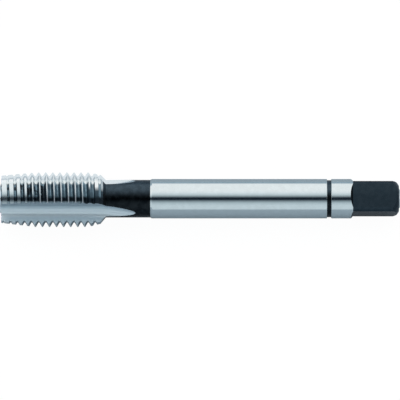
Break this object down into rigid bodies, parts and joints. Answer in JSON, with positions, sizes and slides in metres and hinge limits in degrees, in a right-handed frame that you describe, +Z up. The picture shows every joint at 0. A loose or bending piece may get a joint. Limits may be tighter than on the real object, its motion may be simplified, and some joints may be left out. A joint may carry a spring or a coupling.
{
  "type": "hand thread tap",
  "caption": "Hand tap that cuts a right-hand metric fine inside thread: fluted threaded end, plain round shank with a ring mark, and a square to turn it by.",
  "frame": {"origin": "bottom centre of the bounding box of the tap as it lies on a flat surface, on two crest corners of the thread and on the square end of the shank", "axes": "+X along the tap, from the cutting tip to the drive square; +Z up; a flute faces down"},
  "size_m": [0.0708, 0.01, 0.0096],
  "materials": {
    "tool_steel": "ground bright on thread, flutes and shank; black oxide on neck, ring groove and square"
  },
  "bodies": {
    "root": {"thread_tap": "tool_steel"}
  },
  "joints": []
}
